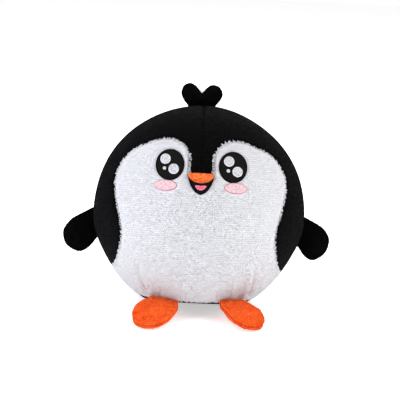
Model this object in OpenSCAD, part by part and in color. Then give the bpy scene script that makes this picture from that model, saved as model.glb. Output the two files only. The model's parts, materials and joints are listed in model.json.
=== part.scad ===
// Plush penguin: a foam ball in a short-plush cover, with an embroidered face, a padded beak, and
// five stuffed flaps (two flippers, two feet and a tuft) that are sewn into the cover's seams.
// Millimetres. +Z is up, the face looks along -Y, and the table it sits on is Z = 0.
// Left and right are the penguin's own: its left flipper is at +X.

/* [Ball] */
// Outside diameter of the stuffed ball
ball_d = 90; // [75:1:110]
// Thickness of the short plush, backing and pile together
plush_t = 2; // [1.6:0.1:2.6]
// How far the toy leans back as it sits
lean = 13; // [8:1:15]
// How far the front flat of the base, under the feet, slopes up from the table
base_slope = 16; // [12:1:18]

/* [Flippers] */
// How far the left flipper stands out from its seam
left_flipper_len = 12.6; // [9:0.2:18]
// How far the right flipper stands out from its seam
right_flipper_len = 14.2; // [9:0.2:18]
// How much further down the right flipper hangs than the left one
right_droop = 5; // [0:1:10]
// Length of a flipper's root, along the side seam
flipper_root = 13.6; // [11:0.2:16]
// Thickness of a stuffed flipper
flipper_t = 5.4; // [4:0.2:6.4]

/* [Feet] */
// Length of a foot from its seam to its toes
foot_len = 20; // [17:0.5:24]
// Width of a foot across its toes
foot_w = 17.5; // [16:0.5:22]
// Thickness of a stuffed foot
foot_t = 5.6; // [4.6:0.2:6.4]
// How far the left foot turns outward
left_splay = 27; // [0:1:35]
// How far the right foot turns outward
right_splay = 20; // [0:1:35]
// How far the left foot leans down on its outer edge
left_roll = 9; // [0:1:12]
// How steeply the feet slope down to the table
foot_slope = 20; // [16:1:24]

/* [Tuft] */
// Height of the tuft above the crown
tuft_h = 9.6; // [7:0.2:13]
// Width of the tuft across its two lobes
tuft_w = 18; // [15:0.5:22]
// Thickness of the stuffed tuft
tuft_t = 4.2; // [3.6:0.2:5]

/* [Face] */
// Distance between the centres of the eyes
eye_spacing = 25.4; // [24:0.2:28]
// Width of an eye
eye_w = 11.4; // [9:0.2:12.4]
// Height of an eye
eye_h = 12.5; // [10:0.2:13.4]
// Height of the eyes above the ball's middle
eye_level = 17.7; // [17:0.1:19]
// How far the padded beak stands out from the face
beak_out = 2.6; // [2:0.1:4]

/* [Hidden] */
$fn = 96;

black_plush = "#141414";
white_plush = "#ecebf0";
orange_plush = "#f2581c";
pale_pink = "#f6c9d0";
rose = "#f0688c";
glint_white = "#f4f4f6";
wadding = "#f4f2ea";
foam = "#f3e9c8";

ball_r = ball_d / 2;
k = ball_d / 90;                 // the outlines below are drawn for a 90 mm ball
// The ball's centre. It is behind the toy's middle because the feet reach forward, and its height is
// also its distance to both flats of the base.
centre = [0, 0.8, 40] * k;
// The base seam is a circle that runs just outside both flats, halfway between their slopes
base_seam_r = ball_r * sin(base_slope / 2 + acos(centre[2] / ball_r) + 0.6);
seam_gap = 0.08;                 // half of the gap between two pieces that meet in a seam
fit_gap = 0.15;                  // between a cover and the foam or wadding inside it
root_gap = 0.5;                  // between a flap's root and the ball, so that the flap can swing
stitch_lift = 0.05;              // between the cover and the embroidery on it
embroidery_t = 0.4;
far = ball_r + 15;               // beyond the ball, for outlines that run off its edge
big = 3 * ball_d;                // a side of the blocks that cut the ball in half

// ---- curves ----

// A point of the Catmull-Rom curve from b to c, at t from 0 to 1, where a and d come before and after
function curve_point(a, b, c, d, t) =
    0.5 * (2 * b + (c - a) * t + (2 * a - 5 * b + 4 * c - d) * t * t
           + (3 * b - a - 3 * c + d) * t * t * t);

// A smooth curve through the points of p, with n steps from each to the next
function curve(p, n) = let (m = len(p))
    concat([for (i = [0 : m - 2]) for (j = [0 : n - 1])
        curve_point(p[max(i - 1, 0)], p[i], p[i + 1], p[min(i + 2, m - 1)], j / n)],
        [p[m - 1]]);

// A whole outline from its right half
function mirrored(half) = concat(half,
    [for (i = [len(half) - 1 : -1 : 0]) if (abs(half[i][0]) > 0.01) [-half[i][0], half[i][1]]]);

function ellipse(w, h, n = 36) =
    [for (i = [0 : n - 1]) [w / 2 * cos(360 * i / n), h / 2 * sin(360 * i / n)]];

function moved(p, by) = [for (q = p) q + by];

// An outline stretched by s[0] across and by s[1] upward, about the point c
function stretched(p, s, c = [0, 0]) =
    [for (q = p) c + [(q[0] - c[0]) * s[0], (q[1] - c[1]) * s[1]]];

// A counterclockwise outline moved outward by d, or inward if d is negative
function grown(p, d) = let (m = len(p))
    [for (i = [0 : m - 1]) let (along = p[(i + 1) % m] - p[(i + m - 1) % m])
        p[i] + d * [along[1], -along[0]] / norm(along)];

function reversed(p) = [for (i = [len(p) - 1 : -1 : 0]) p[i]];

// ---- the ball and its frame ----

// From the toy's own upright frame, with the ball's centre at its origin, to where it sits
module seated() {
    translate(centre) rotate([-lean, 0, 0]) children();
}

// Turned about the ball's centre from the table's slope towards that of the front flat
module sloped(angle) {
    translate(centre) rotate([-angle, 0, 0]) translate(-centre) children();
}

// The ball, smaller by inset on its round and on both flats of its base
module ball(inset) {
    intersection() {
        translate(centre) sphere(ball_r - inset);
        translate([-big / 2, -big / 2, inset]) cube(big);
        sloped(base_slope) translate([-big / 2, -big / 2, inset]) cube(big);
    }
}

module cover() {
    difference() {
        ball(0);
        ball(plush_t);
    }
}

// What is inside the base seam
module base_side(grow) {
    sloped(base_slope / 2) translate([0, centre[1], -ball_r / 3])
        cylinder(r = base_seam_r + grow, h = ball_r / 2);
}

// The cover above the base seam
module round_cover() {
    difference() {
        cover();
        base_side(seam_gap);
    }
}

// An outline in the toy's front view, as a prism through the ball's front
module front_prism(outline) {
    seated() rotate([90, 0, 0]) linear_extrude(height = far) polygon(outline);
}

module front_half() {
    seated() translate([-big / 2, -big - seam_gap, -big / 2]) cube(big);
}

module back_half() {
    seated() translate([-big / 2, seam_gap, -big / 2]) cube(big);
}

// The half that is on the toy's left when side is 1, or on its right when side is -1
module side_half(side) {
    translate([side > 0 ? seam_gap : -big - seam_gap, -big / 2, -big / 2]) cube(big);
}

// ---- cover panels ----

// Right half of the white panel's outline: the notch behind the beak, the side of the black peak,
// the lobe over the eye, the waist and the flare, which runs off the ball's edge
belly_half = [[0, 11.6], [2.8, 12], [4.7, 13.4], [5.3, 16], [5.3, 19.5], [5.6, 23.3], [7.5, 26.6],
              [11.6, 28.9], [16.5, 28.9], [22.5, 26.9], [28.8, 23.9], [33.4, 19], [35.7, 12.5],
              [35.3, 5], [33.3, -3], [32, -10], [32.9, -17], [35.5, -24], [41, -31]];
belly_outline = mirrored(reversed(concat(curve(belly_half, 3), [[far, -34], [far, -far]])) * k);

module belly_panel() {
    color(white_plush) intersection() {
        round_cover();
        front_half();
        front_prism(grown(belly_outline, -seam_gap));
    }
}

module head_panel(side) {
    color(black_plush) difference() {
        intersection() {
            round_cover();
            front_half();
            side_half(side);
        }
        front_prism(grown(belly_outline, seam_gap));
    }
}

module back_panel(side) {
    color(black_plush) intersection() {
        round_cover();
        back_half();
        side_half(side);
    }
}

module base_panel() {
    color(black_plush) intersection() {
        cover();
        base_side(-seam_gap);
    }
}

module foam_core() {
    color(foam) ball(plush_t + fit_gap);
}

// Hand stitches across the centre-back seam, where the cover is closed after filling
stitch_count = 9;
stitch_pitch = 4;        // degrees from one stitch to the next, down the seam
first_stitch = 6;        // degrees below the ball's middle
stitch_d = 0.5;
stitch_w = 3;

module closing_stitches() {
    color(black_plush) seated()
        for (i = [0 : stitch_count - 1])
            rotate([-first_stitch - i * stitch_pitch, 0, 0])
                translate([-stitch_w / 2, ball_r + stitch_lift + stitch_d / 2, 0])
                    rotate([0, 90, 0]) cylinder(d = stitch_d, h = stitch_w, $fn = 16);
}

// ---- embroidered face ----

// A layer on the front of the ball, from lift above the cover to lift + t
module patch(outline, lift, t) {
    intersection() {
        translate(centre) difference() {
            sphere(ball_r + lift + t);
            sphere(ball_r + lift);
        }
        front_prism(outline);
    }
}

eye_outline = ellipse(eye_w, eye_h) * k;
// Place and width of each glint in an eye. They lie the same way in both eyes.
glints = [[[-1.8, 2.1], 4.2], [[1.7, -1.9], 4.2], [[-2, -1.7], 1.4]];
cheek_at = [14.1, 9.3];
cheek_size = [9.4, 4.6];

// Right halves, from top to bottom
beak_half = [[0, 14.4], [2.6, 14.4], [4.6, 14.2], [5.1, 13.6], [4.4, 12.2], [2.6, 10.9], [0, 10.4]];
mouth_half = [[0, 12.6], [4.6, 12.6], [4.4, 10.8], [3.7, 9.1], [2.3, 7.1], [0, 6]];
tongue_half = [[0, 9.6], [1.7, 9.8], [2.3, 9.4], [1.4, 8.2], [0, 7.6]];

function face_outline(half) = reversed(mirrored(curve(half, 3))) * k;

beak_outline = face_outline(beak_half);
beak_middle = [0, 12.6] * k;

function eye_place(side) = [side * eye_spacing / 2, eye_level] * k;

module eye(side) {
    color(black_plush) patch(moved(eye_outline, eye_place(side)), stitch_lift, embroidery_t);
}

module eye_glints(side) {
    color(glint_white) for (g = glints)
        patch(moved(ellipse(g[1], g[1], 24) * k, eye_place(side) + g[0] * k),
              2 * stitch_lift + embroidery_t, embroidery_t);
}

module cheek(side) {
    color(pale_pink) difference() {
        patch(moved(ellipse(cheek_size[0], cheek_size[1]), [side * cheek_at[0], cheek_at[1]]) * k,
              stitch_lift, embroidery_t);
        front_prism(moved(grown(eye_outline, seam_gap), eye_place(side)));
    }
}

// The beak is a plush cap, sewn down over a thin wad
beak_plush_t = 1;
wad_share = [0.68, 0.4];  // width and height of the wad as shares of the beak's

module beak() {
    color(orange_plush) difference() {
        patch(beak_outline, stitch_lift, beak_out);
        patch(stretched(beak_outline, wad_share, beak_middle), 0, beak_out - beak_plush_t);
    }
}

module beak_padding() {
    color(wadding) patch(grown(stretched(beak_outline, wad_share, beak_middle), -fit_gap),
                         stitch_lift, beak_out - beak_plush_t - fit_gap - stitch_lift);
}

module mouth() {
    color(black_plush) difference() {
        patch(face_outline(mouth_half), stitch_lift, embroidery_t);
        front_prism(grown(beak_outline, seam_gap));
    }
}

module tongue() {
    color(rose) patch(face_outline(tongue_half), 2 * stitch_lift + embroidery_t, embroidery_t);
}

// ---- stuffed flaps ----
// A flap lies in its own XY plane, with its root along X at Y = 0 and its tip up Y. It swells from
// nothing at its edge seam to its full thickness at one middle point.

flap_plush_t = 1.1;      // plush is squeezed thinner where a small flap is turned out
rings = 4;               // rings of points from the edge to the middle
root_rise = 1.2;         // a nearly straight wedge at the root, so that the flap can swing
edge_rise = 0.62;        // and a full, round edge elsewhere

// Height of a dome, as a share of its middle, at s of the way out to the edge point q
function swell(s, q, middle) =
    pow(1 - s * s, root_rise + (edge_rise - root_rise) * min(1, max(0, q[1] / middle[1])));

function dome(outline, middle, height) =
    concat([for (i = [0 : rings - 1]) let (s = 1 - i / rings) for (q = outline)
               let (p = middle + (q - middle) * s) [p[0], p[1], height * swell(s, q, middle)]],
           [[middle[0], middle[1], height]]);

// The triangles of a dome whose rings have n points, clockwise from above
function dome_faces(n) = concat(
    [for (i = [0 : rings - 2]) for (j = [0 : n - 1])
        let (a = i * n + j, b = i * n + (j + 1) % n) each [[a, a + n, b], [b, a + n, b + n]]],
    [for (j = [0 : n - 1]) [(rings - 1) * n + j, rings * n, (rings - 1) * n + (j + 1) % n]]);

function turned_over(faces) = [for (f = faces) [f[2], f[1], f[0]]];

// One panel: a dome of plush over the hollow that its half of the wadding fills
module flap_panel(outline, middle, height) {
    n = len(outline);
    count = rings * n + 1;
    hollow = grown(outline, -flap_plush_t);
    rim = [for (j = [0 : n - 1]) let (b = (j + 1) % n) each [[j, b, count + j],
                                                              [b, count + b, count + j]]];
    polyhedron(concat(dome(outline, middle, height), dome(hollow, middle, height - flap_plush_t)),
               concat(dome_faces(n), turned_over([for (f = dome_faces(n)) f + [count, count, count]]),
                      rim));
}

// The wadding: two domes that share their edge
module flap_fill(outline, middle, top, bottom) {
    inset = flap_plush_t + fit_gap;
    edge = grown(outline, -inset);
    n = len(edge);
    count = rings * n + 1;
    under = dome(edge, middle, inset - bottom);
    low = [for (i = [0 : count - 1]) i < n ? i : i + count - n];
    polyhedron(concat(dome(edge, middle, top - inset), [for (i = [n : count - 1]) under[i]]),
               concat(dome_faces(n),
                      turned_over([for (f = dome_faces(n)) [low[f[0]], low[f[1]], low[f[2]]]])));
}

// piece is "top", "bottom" or "fill"; top and bottom are the heights of the two domes
module flap(outline, middle, top, bottom, piece) {
    if (piece == "top")
        translate([0, 0, seam_gap]) flap_panel(outline, middle, top - seam_gap);
    if (piece == "bottom")
        mirror([1, 0, 0]) rotate([0, 180, 0]) translate([0, 0, seam_gap])
            flap_panel(outline, middle, bottom - seam_gap);
    if (piece == "fill")
        flap_fill(outline, middle, top, bottom);
}

// To the seam that runs round the toy from side to side over its crown, at an angle from the crown.
// A flap's tip points away from the ball and its top faces forward.
module on_seam(angle) {
    seated() rotate([0, angle, 0]) translate([0, 0, ball_r + root_gap]) rotate([90, 0, 0]) children();
}

// ---- flippers ----

flipper_at = 99.5;       // degrees down the seam from the crown

// Drawn 12 mm long with a root of 13.6 mm, with the lower edge at +X
flipper_edge = [[6.8, 0], [10, 3.4], [10.8, 7.3], [6.6, 11.4], [0.8, 11.9], [-3.1, 9.2],
                [-5, 5.6], [-6.8, 0]];

function flipper_outline(length, droop) =
    [for (q = stretched(curve(flipper_edge, 3), [flipper_root / 13.6, length / 12]))
        [q[0] + q[1] * tan(droop), q[1]] * k];

module flipper(side, length, droop, piece) {
    color(piece == "fill" ? wadding : black_plush)
        mirror([side > 0 ? 0 : 1, 0, 0]) on_seam(flipper_at)
            flap(flipper_outline(length, droop), [1.8, 0.56 * length] * k,
                 flipper_t / 2 * k, flipper_t / 2 * k, piece);
}

module left_flipper(piece) {
    flipper(1, left_flipper_len, 0, piece);
}

module right_flipper(piece) {
    flipper(-1, right_flipper_len, right_droop, piece);
}

// ---- feet ----

left_foot_at = 30;       // degrees round the ball from the front to the left foot's root
right_foot_at = 25;    // and to the right foot's
top_share = 0.62;        // of a foot's thickness, above its edge seam
floor_gap = 0.05;        // between a resting foot and the table

// Right half, drawn 20 mm long and 19 mm wide
foot_half = [[0, 20], [4.3, 19.1], [7.3, 16.2], [9, 12.2], [9.5, 7.8], [8.9, 3.6], [7.3, 0]];
foot_outline = reversed(stretched(mirrored(curve(foot_half, 3)), [foot_w / 19, foot_len / 20]) * k);
foot_middle = [0, 0.58 * foot_len] * k;
top_h = top_share * foot_t * k;
sole_h = (1 - top_share) * foot_t * k;

// How far the lowest point of the sole is below the root
function foot_drop(roll) = max([for (p = dome(foot_outline, foot_middle, sole_h))
    p[1] * sin(foot_slope) + (p[0] * sin(roll) + p[2] * cos(roll)) * cos(foot_slope)]);

// The root sits on the ball at the height that brings the sole down to the table
module foot(side, at, splay, roll, piece) {
    below = asin((centre[2] - floor_gap - foot_drop(roll)) / (ball_r + root_gap));
    color(piece == "fill" ? wadding : orange_plush)
        translate(centre) rotate([0, 0, side * at]) rotate([below, 0, 0])
            translate([0, -ball_r - root_gap, 0]) rotate([-below, 0, 0])
                rotate([0, 0, 180 + side * (splay - at)]) rotate([-foot_slope, 0, 0])
                    rotate([0, -side * roll, 0])
                        flap(foot_outline, foot_middle, top_h, sole_h, piece);
}

module left_foot(piece) {
    foot(1, left_foot_at, left_splay, left_roll, piece);
}

module right_foot(piece) {
    foot(-1, right_foot_at, right_splay, 0, piece);
}

// ---- tuft ----

tuft_at = -1.2;          // degrees from the crown, so it is sewn in a little to the right
// Right half of the heart, drawn 9.6 mm high and 18 mm wide
tuft_half = [[0, 6.1], [2.1, 8.7], [5.1, 9.6], [8, 8.3], [9, 5.2], [8, 2.4], [6, 0]];

module tuft(piece) {
    color(piece == "fill" ? wadding : black_plush) on_seam(tuft_at)
        flap(reversed(stretched(mirrored(curve(tuft_half, 3)), [tuft_w / 18, tuft_h / 9.6])) * k,
             [0, 0.4 * tuft_h] * k, tuft_t / 2 * k, tuft_t / 2 * k, piece);
}

foam_core();
belly_panel();
head_panel(1);  // head_panel_left
head_panel(-1);  // head_panel_right
back_panel(1);  // back_panel_left
back_panel(-1);  // back_panel_right
base_panel();
closing_stitches();
eye(1);  // left_eye
eye(-1);  // right_eye
eye_glints(1);  // left_eye_glints
eye_glints(-1);  // right_eye_glints
cheek(1);  // left_cheek
cheek(-1);  // right_cheek
beak();
beak_padding();
mouth();
tongue();
left_flipper("top");  // left_flipper_front
left_flipper("bottom");  // left_flipper_back
left_flipper("fill");  // left_flipper_fill
right_flipper("top");  // right_flipper_front
right_flipper("bottom");  // right_flipper_back
right_flipper("fill");  // right_flipper_fill
left_foot("top");  // left_foot_top
left_foot("bottom");  // left_foot_sole
left_foot("fill");  // left_foot_fill
right_foot("top");  // right_foot_top
right_foot("bottom");  // right_foot_sole
right_foot("fill");  // right_foot_fill
tuft("top");  // tuft_front
tuft("bottom");  // tuft_back
tuft("fill");  // tuft_fill
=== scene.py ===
"""The plush penguin's looks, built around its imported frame.

Shapes are worked out in millimetres in the toy's own frame: the ball's centre is the origin, the face
looks along -Y and the seams' crown is +Z. The toy leans back on the table by LEAN from there.
"""
import json
import math

import bpy
import numpy as np
from mathutils import Matrix, Vector
from mathutils.geometry import delaunay_2d_cdt
from mathutils.kdtree import KDTree


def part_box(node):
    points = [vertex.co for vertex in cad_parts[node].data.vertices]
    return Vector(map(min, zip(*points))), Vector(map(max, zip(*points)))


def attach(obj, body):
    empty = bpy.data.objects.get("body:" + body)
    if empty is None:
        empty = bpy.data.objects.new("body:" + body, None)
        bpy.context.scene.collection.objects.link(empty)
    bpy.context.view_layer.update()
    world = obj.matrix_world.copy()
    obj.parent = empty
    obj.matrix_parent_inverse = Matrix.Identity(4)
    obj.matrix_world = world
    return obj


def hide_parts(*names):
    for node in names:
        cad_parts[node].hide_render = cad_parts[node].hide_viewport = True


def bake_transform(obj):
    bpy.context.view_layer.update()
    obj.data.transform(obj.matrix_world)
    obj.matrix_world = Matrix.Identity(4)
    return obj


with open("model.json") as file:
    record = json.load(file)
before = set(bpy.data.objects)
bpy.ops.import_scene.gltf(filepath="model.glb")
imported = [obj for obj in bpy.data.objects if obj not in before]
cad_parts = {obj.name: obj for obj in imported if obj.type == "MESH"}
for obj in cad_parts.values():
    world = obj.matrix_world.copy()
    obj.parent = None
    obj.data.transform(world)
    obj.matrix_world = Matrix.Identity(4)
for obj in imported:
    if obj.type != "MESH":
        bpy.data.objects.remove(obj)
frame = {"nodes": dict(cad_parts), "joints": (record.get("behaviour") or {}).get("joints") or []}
scene = bpy.context.scene
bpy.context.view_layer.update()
joints = {j["name"]: j for j in frame["joints"]}

MM = 0.001
FORWARD = np.array([0, -1.0, 0])
DOWN = np.array([0, 0, -1.0])

# ---- the ball's place, from the frame

head_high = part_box("head_panel_left")[1]
back_low, back_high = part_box("back_panel_right")[0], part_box("back_panel_left")[1]
BALL = (back_high.x - back_low.x) / 2 / MM
CENTRE = Vector((0, back_high.y - BALL * MM, head_high.z - BALL * MM))
tuft_root = Vector(joints["tuft_nod"]["pos_m"]) - CENTRE
LEAN = math.atan2(tuft_root.y, tuft_root.z)
TOY = Matrix.Translation(CENTRE) @ Matrix.Rotation(-LEAN, 4, "X")
TURN = np.array(TOY.to_3x3())

BASE_SLOPE = math.radians(16)  # the front flat of the base slopes up by this from the table
SEAM_GAP = 0.04  # half of the gap between two panels


def to_world(points):
    """Points in mm in the toy's frame, as metres in the row frame."""
    return np.asarray(points) * MM @ TURN.T + np.array(CENTRE)


def to_toy(points):
    """Points in metres in the row frame, as mm in the toy's frame."""
    return (np.asarray(points) - np.array(CENTRE)) @ TURN / MM


def node_in_toy(node):
    """A CAD node's points, in mm in the toy's frame."""
    return to_toy([v.co for v in frame["nodes"][node].data.vertices])


# ---- small tools


def unit(v):
    v = np.asarray(v, float)
    return v / np.linalg.norm(v, axis=-1, keepdims=True)


def smooth(x, low, high):
    """0 below low, 1 above high, and a smooth step between."""
    t = np.clip((np.asarray(x, float) - low) / (high - low), 0, 1)
    return t * t * (3 - 2 * t)


def wobble(points, size, seed, waves=7):
    """Smooth noise from about -1 to 1, with bumps about size across."""
    r = np.random.default_rng(seed)
    ways = unit(r.normal(size=(waves, 3))) * (2 * np.pi / size) * r.uniform(0.6, 1.3, (waves, 1))
    phases = r.uniform(0, 2 * np.pi, waves)
    return np.sin(points @ ways.T + phases).sum(1) / math.sqrt(waves)


def curve(points, steps):
    """A Catmull-Rom curve through the points, as part.scad's."""
    p = np.asarray(points, float)
    p = np.vstack([p[0], p, p[-1]])
    out = []
    for a, b, c, d in zip(p, p[1:], p[2:], p[3:]):
        for t in np.arange(steps) / steps:
            out.append(0.5 * (2 * b + (c - a) * t + (2 * a - 5 * b + 4 * c - d) * t * t
                              + (3 * b - a - 3 * c + d) * t ** 3))
    return np.array(out + [p[-1]])


def spaced(points, step, closed=False):
    """The same line with points step apart."""
    p = np.asarray(points, float)
    if closed:
        p = np.vstack([p, p[:1]])
    along = np.r_[0, np.cumsum(np.linalg.norm(np.diff(p, axis=0), axis=1))]
    count = max(3, int(round(along[-1] / step)))
    at = np.linspace(0, along[-1], count + 1)
    if closed:
        at = at[:-1]
    return np.stack([np.interp(at, along, p[:, i]) for i in range(p.shape[1])], 1)


def inside(points, loop):
    """Which points lie inside a closed outline."""
    hit = np.zeros(len(points), bool)
    x, y = points[:, 0], points[:, 1]
    for (x0, y0), (x1, y1) in zip(loop, np.roll(loop, -1, 0)):
        if y0 != y1:
            crosses = (y0 > y) != (y1 > y)
            hit ^= crosses & (x < (x1 - x0) * (y - y0) / (y1 - y0) + x0)
    return hit


def edge_distance(points, loop):
    """Distance from each point to a closed outline, and how far along the outline that place is."""
    best = np.full(len(points), 1e9)
    where = np.zeros(len(points))
    start = 0.0
    for a, b in zip(loop, np.roll(loop, -1, 0)):
        ab = b - a
        length = np.linalg.norm(ab)
        t = np.clip(((points - a) @ ab) / length ** 2, 0, 1)
        d = np.linalg.norm(points - (a + t[:, None] * ab), axis=1)
        near = d < best
        best[near] = d[near]
        where[near] = (start + t * length)[near]
        start += length
    return best, where


def filled(loop, step, rows=()):
    """Triangles that fill a closed outline, with points about step apart and rows of points at those
    distances from the edge: (points, triangles, distance to the edge, place along the edge)."""
    loop = np.asarray(loop, float)
    low, high = loop.min(0) - step, loop.max(0) + step
    across = np.arange(low[0], high[0], step)
    up = np.arange(low[1], high[1], step * math.sqrt(3) / 2)
    grid = np.array([(x + (step / 2 if j % 2 else 0), y) for j, y in enumerate(up) for x in across])
    grid = grid[inside(grid, loop)]
    parts = [loop]
    for row in rows:
        way = np.roll(loop, -1, 0) - np.roll(loop, 1, 0)
        normal = unit(np.stack([-way[:, 1], way[:, 0]], 1))
        moved = loop + normal * row
        moved = moved if inside(moved, loop).mean() > 0.5 else loop - normal * row
        gone = inside(moved, loop) & (edge_distance(moved, loop)[0] > 0.85 * row)
        parts.append(moved[gone])
    clear = (rows[-1] if len(rows) else 0) + 0.55 * step
    parts.append(grid[edge_distance(grid, loop)[0] > clear])
    points = np.vstack(parts)
    ring = list(range(len(loop)))
    co, _, faces, *_ = delaunay_2d_cdt([Vector(p) for p in points], [], [ring], 1, 1e-6)
    co = np.array([tuple(p) for p in co])
    far, along = edge_distance(co, loop)
    return co, np.array([f for f in faces if len(f) == 3]), far, along


def new_object(name, points, faces):
    mesh = bpy.data.meshes.new(name)
    mesh.from_pydata([tuple(p) for p in points], [], [tuple(map(int, f)) for f in faces])
    mesh.update()
    mesh.polygons.foreach_set("use_smooth", np.ones(len(mesh.polygons), bool))
    piece = bpy.data.objects.new(name, mesh)
    scene.collection.objects.link(piece)
    return piece


def turned_out(points, faces):
    """The faces, turned so that they look away from the ball's centre."""
    a, b, c = (points[faces[:, i]] for i in range(3))
    facing = np.cross(b - a, c - a) * (a + b + c)
    return faces if facing.sum() > 0 else faces[:, ::-1]


def thicken(piece, thickness):
    """Gives a sheet its cloth's thickness, inwards, so that it is a closed solid."""
    solid = piece.modifiers.new("cloth", "SOLIDIFY")
    solid.thickness = thickness * MM
    solid.offset = -1
    solid.use_even_offset = False
    shown = bpy.context.evaluated_depsgraph_get()
    shown.update()
    mesh = bpy.data.meshes.new_from_object(piece.evaluated_get(shown))
    piece.modifiers.clear()
    sheet, piece.data = piece.data, mesh
    bpy.data.meshes.remove(sheet)
    mesh.name = piece.name
    mesh.polygons.foreach_set("use_smooth", np.ones(len(mesh.polygons), bool))


# ---- the ball's shape

FLATS = [DOWN @ TURN,
         np.array([0, -math.sin(BASE_SLOPE), -math.cos(BASE_SLOPE)]) @ TURN]
FLAT_AT = CENTRE.z / MM
ROOTS = {side: unit(to_toy([joints[side + "_flipper_swing"]["pos_m"]])[0]) for side in ("left", "right")}

# Folds in the belly over the feet: (x, z) at the top and the bottom, how deep, and half the width.
# A negative depth is a ridge.
FOLDS = [((-24.6, -20.5), (-20.4, -35.0), 0.5, 0.8), ((-26.2, -21.5), (-22.2, -35.5), -0.25, 1.0),
         ((23.4, -21.5), (22.6, -35.0), 0.45, 0.8), ((21.6, -22.0), (21.1, -36.0), -0.25, 1.0),
         ((18.4, -23.0), (18.2, -36.0), 0.3, 2.2), ((-5.1, -30.0), (-4.9, -38.6), 0.3, 0.9),
         ((7.1, -30.5), (6.6, -38.8), 0.25, 0.9), ((-12.6, -32.0), (-14.2, -37.6), 0.25, 0.9),
         ((13.5, -33.0), (12.6, -38.0), 0.25, 0.9)]
FOLD_BOW = 1.0  # a fold curves away from the middle by this


def fold_depth(toward):
    """How deep the folds are pressed in, at points on the ball."""
    flat = toward[:, [0, 2]] * BALL
    depth = np.zeros(len(flat))
    for top, bottom, deep, wide in FOLDS:
        top, bottom = np.array(top), np.array(bottom)
        down = bottom - top
        t = ((flat - top) @ down) / (down @ down)
        line = top + np.clip(t, 0, 1)[:, None] * down
        line[:, 0] += FOLD_BOW * np.sign(top[0]) * np.sin(np.pi * np.clip(t, 0, 1))
        away = np.linalg.norm(flat - line, axis=1)
        fade = smooth(t, -0.05, 0.4) * (1 - smooth(t, 0.95, 1.15))
        depth += deep * fade * np.exp(-(away / wide) ** 2)
    return depth * (toward[:, 1] < 0)


UNEVEN = 0.22  # the foam ball's own unevenness
WAIST = 0.8  # drawn in by this below the flippers, at this sine of the latitude
WAIST_AT, WAIST_WIDE = -0.55, 0.28
SHOULDER = 0.7  # fuller by this within this angle of a flipper's root
SHOULDER_WIDE = 0.2
FLAT_EDGE = 0.45  # how softly the ball rounds into its flats
FLAT_FROM = 0.4  # a flat can only cut directions with at least this cosine to it


def ball_radius(toward):
    """The ball's radius in each direction: nearly round, a little fuller at the flippers and drawn in
    below them, and flat where it rests."""
    r = BALL + 0.1 + UNEVEN * wobble(toward * BALL, 42, 3)
    r -= WAIST * np.exp(-(((toward[:, 2] - WAIST_AT) / WAIST_WIDE) ** 2))
    for root in ROOTS.values():
        away = np.arccos(np.clip(toward @ root, -1, 1))
        r += SHOULDER * np.exp(-((away / SHOULDER_WIDE) ** 2))
    total = np.exp(-(r - BALL) / FLAT_EDGE)
    for flat in FLATS:
        facing = toward @ flat
        cut = np.where(facing > FLAT_FROM, FLAT_AT / np.maximum(facing, FLAT_FROM), 2 * BALL)
        total += np.exp(-(cut - BALL) / FLAT_EDGE)
    return BALL - FLAT_EDGE * np.log(total)


# ---- the seams between the panels

FLAT_HALF = math.acos(FLAT_AT / BALL)
BASE_AXIS = unit(FLATS[0] + FLATS[1])
BASE_HALF = BASE_SLOPE / 2 + FLAT_HALF - math.radians(0.6)  # the base seam's angle from its axis

# Half of the white panel's outline in front view, from the notch behind the beak, up the side of the
# black peak, round the lobe over the eye, down the waist and off the ball's edge
BELLY_HALF = [(0, 11.6), (2.8, 12), (4.7, 13.4), (5.3, 16), (5.2, 19.5), (5.6, 23.3), (7.5, 26.3),
              (11.6, 28.4), (16.5, 28.5), (22.5, 26.6), (28.8, 23.6), (33.2, 18.6), (35.3, 12.5),
              (34.9, 5), (33, -3), (31.8, -10), (32.7, -17), (35.3, -24), (41, -31)]


def on_front(flat):
    """Directions to points given by x and z in front view."""
    flat = np.asarray(flat, float)
    depth = np.sqrt(np.maximum(BALL ** 2 - (flat ** 2).sum(1), 0))
    return unit(np.stack([flat[:, 0], -depth, flat[:, 1]], 1))


SEAM_STEP = 0.5


def arc(a, b):
    """Directions along the great circle from a to b."""
    angle = math.acos(np.clip(a @ b, -1, 1))
    count = int(angle * BALL / SEAM_STEP)
    t = np.linspace(0, 1, count + 1)[:, None]
    return (np.sin((1 - t) * angle) * a + np.sin(t * angle) * b) / math.sin(angle)


def base_arc(start, end):
    """Directions along the base seam, by angle in degrees from the front, positive to the left side."""
    ahead = unit(FORWARD - BASE_AXIS * (FORWARD @ BASE_AXIS))
    side = np.array([1.0, 0, 0])
    count = int(abs(math.radians(end - start)) * BALL * math.sin(BASE_HALF) / SEAM_STEP)
    turn = np.radians(np.linspace(start, end, count + 1))[:, None]
    way = np.cos(turn) * ahead + np.sin(turn) * side
    return math.cos(BASE_HALF) * BASE_AXIS + math.sin(BASE_HALF) * way


crown = np.array([0, 0, 1.0])
line = curve(BELLY_HALF, 8)
line = spaced(line[np.hypot(line[:, 0], line[:, 1]) < BALL - 0.01], SEAM_STEP)
belly_side = on_front(line)  # from the notch to the left side seam
side_end = unit(np.array([line[-1][0], 0, line[-1][1]]))
notch = belly_side[0]
# The base seam meets the side seam at this angle round it
turns = np.linspace(60, 150, 901)
BASE_SIDE = turns[np.argmin([abs(base_arc(0, turn)[-1][1]) for turn in turns])]
base_corner = unit(base_arc(0, BASE_SIDE)[-1] * [1, 0, 1])


def flip(line):
    return line * np.array([-1, 1, 1])


def joined(*lines):
    """One closed loop from lines that follow each other."""
    return np.vstack([l[:-1] for l in lines])


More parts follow.
